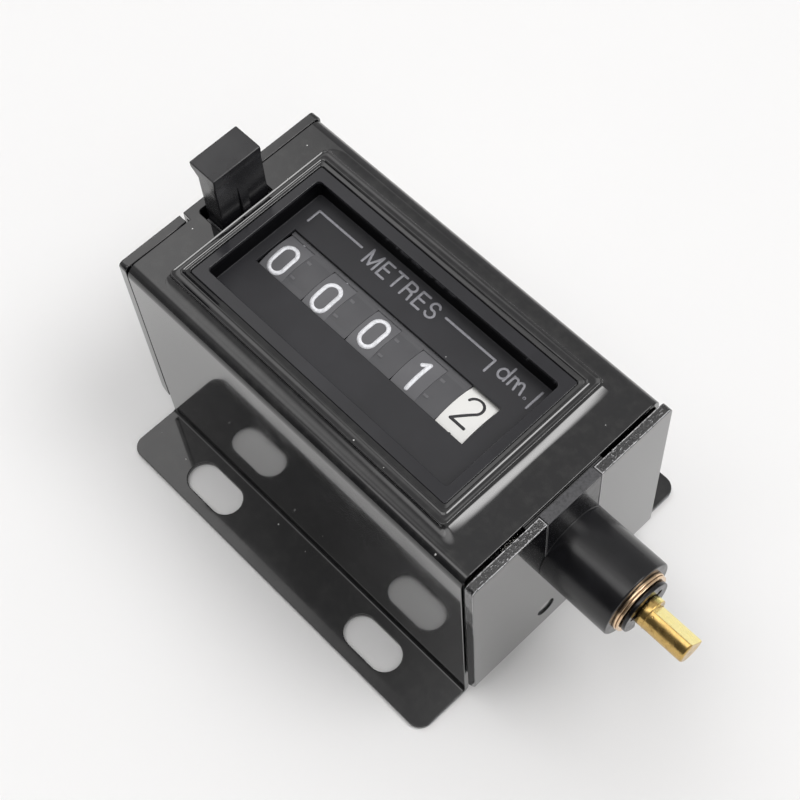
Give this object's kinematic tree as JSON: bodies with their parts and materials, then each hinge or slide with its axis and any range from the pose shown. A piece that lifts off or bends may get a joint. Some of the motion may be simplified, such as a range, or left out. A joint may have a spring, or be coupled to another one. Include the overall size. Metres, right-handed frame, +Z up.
{
  "type": "metre counter head",
  "caption": "Mechanical length counter head of a measuring wheel: digit wheels under a windowed sheet cover, side input shaft, press-down reset button and slotted flanges.",
  "frame": {"origin": "centre of the four flange slots, on the mounting plane under the flanges", "axes": "+X along the digits towards the input shaft's free end, +Y away from the reader's lower edge of the dial, +Z up out of the dial"},
  "size_m": [0.089, 0.054, 0.0518],
  "materials": {
    "black_paint": "gloss",
    "dial_black": "matt",
    "hub_black": "satin gloss",
    "button_black": "satin gloss",
    "wheel_black": "satin",
    "wheel_white": "satin",
    "natural_plastic": "satin",
    "brass": "turned, slightly worn",
    "bronze": "sintered, satin",
    "bright_steel": "ground",
    "zinc_steel": "zinc plated",
    "black_steel": "black oxide"
  },
  "bodies": {
    "housing": {"chassis": "black_paint", "cover": "black_paint", "dial_insert": "dial_black", "inner_bracket": "zinc_steel", "bracket_screws": "zinc_steel", "bearing_hub": "hub_black", "front_bushing": "bronze", "rear_bushing": "bronze", "thrust_washer": "bronze", "wheel_axle": "bright_steel", "axle_clips": "black_steel", "axle_spacer": "bright_steel", "pinion_axle": "bright_steel", "pinion_clip": "black_steel", "reset_spring": "bright_steel"},
    "input": {"input_shaft": "brass", "shaft_clip": "black_steel", "shaft_collar": "zinc_steel", "collar_screw": "black_steel", "drive_coupling": "natural_plastic"},
    "wheel_thousands": {"wheel_thousands": "wheel_black"},
    "wheel_hundreds": {"wheel_hundreds": "wheel_black"},
    "wheel_tens": {"wheel_tens": "wheel_black"},
    "wheel_units": {"wheel_units": "wheel_black"},
    "wheel_decimetres": {"wheel_decimetres": "wheel_white"},
    "pinion_1": {"transfer_pinion_1": "natural_plastic"},
    "pinion_2": {"transfer_pinion_2": "natural_plastic"},
    "pinion_3": {"transfer_pinion_3": "natural_plastic"},
    "pinion_4": {"transfer_pinion_4": "natural_plastic"},
    "reset_button": {"reset_button": "button_black"},
    "reset_comb": {"reset_comb": "bright_steel"}
  },
  "joints": [
    {"name": "input_spin", "type": "hinge", "parent": "housing", "child": "input", "pos_m": [0.04, 0, 0.028], "axis": [1, 0, 0], "continuous": true},
    {"name": "wheel_thousands_spin", "type": "hinge", "parent": "housing", "child": "wheel_thousands", "pos_m": [-0.02, 0, 0.028], "axis": [1, 0, 0], "continuous": true},
    {"name": "wheel_hundreds_spin", "type": "hinge", "parent": "housing", "child": "wheel_hundreds", "pos_m": [-0.0113, 0, 0.028], "axis": [1, 0, 0], "continuous": true},
    {"name": "wheel_tens_spin", "type": "hinge", "parent": "housing", "child": "wheel_tens", "pos_m": [-0.0026, 0, 0.028], "axis": [1, 0, 0], "continuous": true},
    {"name": "wheel_units_spin", "type": "hinge", "parent": "housing", "child": "wheel_units", "pos_m": [0.0061, 0, 0.028], "axis": [1, 0, 0], "continuous": true},
    {"name": "wheel_decimetres_spin", "type": "hinge", "parent": "housing", "child": "wheel_decimetres", "pos_m": [0.0148, 0, 0.028], "axis": [1, 0, 0], "continuous": true},
    {"name": "pinion_1_spin", "type": "hinge", "parent": "housing", "child": "pinion_1", "pos_m": [-0.01575, 0.0119, 0.028], "axis": [1, 0, 0], "continuous": true},
    {"name": "pinion_2_spin", "type": "hinge", "parent": "housing", "child": "pinion_2", "pos_m": [-0.00705, 0.0119, 0.028], "axis": [1, 0, 0], "continuous": true},
    {"name": "pinion_3_spin", "type": "hinge", "parent": "housing", "child": "pinion_3", "pos_m": [0.00165, 0.0119, 0.028], "axis": [1, 0, 0], "continuous": true},
    {"name": "pinion_4_spin", "type": "hinge", "parent": "housing", "child": "pinion_4", "pos_m": [0.01035, 0.0119, 0.028], "axis": [1, 0, 0], "continuous": true},
    {"name": "reset_button_slide", "type": "slide", "parent": "housing", "child": "reset_button", "axis": [0, 0, -1], "range_m": [0, 0.004], "stiffness_N_per_m": 400, "springref_m": -0.0005, "deforming": ["reset_spring"]},
    {"name": "reset_comb_swing", "type": "hinge", "parent": "housing", "child": "reset_comb", "pos_m": [0, -0.0041, 0.0118], "axis": [1, 0, 0], "range_deg": [-27, 0]}
  ],
  "couplings": [
    {"joint": "wheel_thousands_spin", "follows": "input_spin", "ratio": 0.0001},
    {"joint": "wheel_hundreds_spin", "follows": "input_spin", "ratio": 0.001},
    {"joint": "wheel_tens_spin", "follows": "input_spin", "ratio": 0.01},
    {"joint": "wheel_units_spin", "follows": "input_spin", "ratio": 0.1},
    {"joint": "wheel_decimetres_spin", "follows": "input_spin", "ratio": 1},
    {"joint": "pinion_1_spin", "follows": "input_spin", "ratio": -0.00025},
    {"joint": "pinion_2_spin", "follows": "input_spin", "ratio": -0.0025},
    {"joint": "pinion_3_spin", "follows": "input_spin", "ratio": -0.025},
    {"joint": "pinion_4_spin", "follows": "input_spin", "ratio": -0.25},
    {"joint": "reset_comb_swing", "follows": "reset_button_slide", "rad_per_m": -117.8}
  ]
}
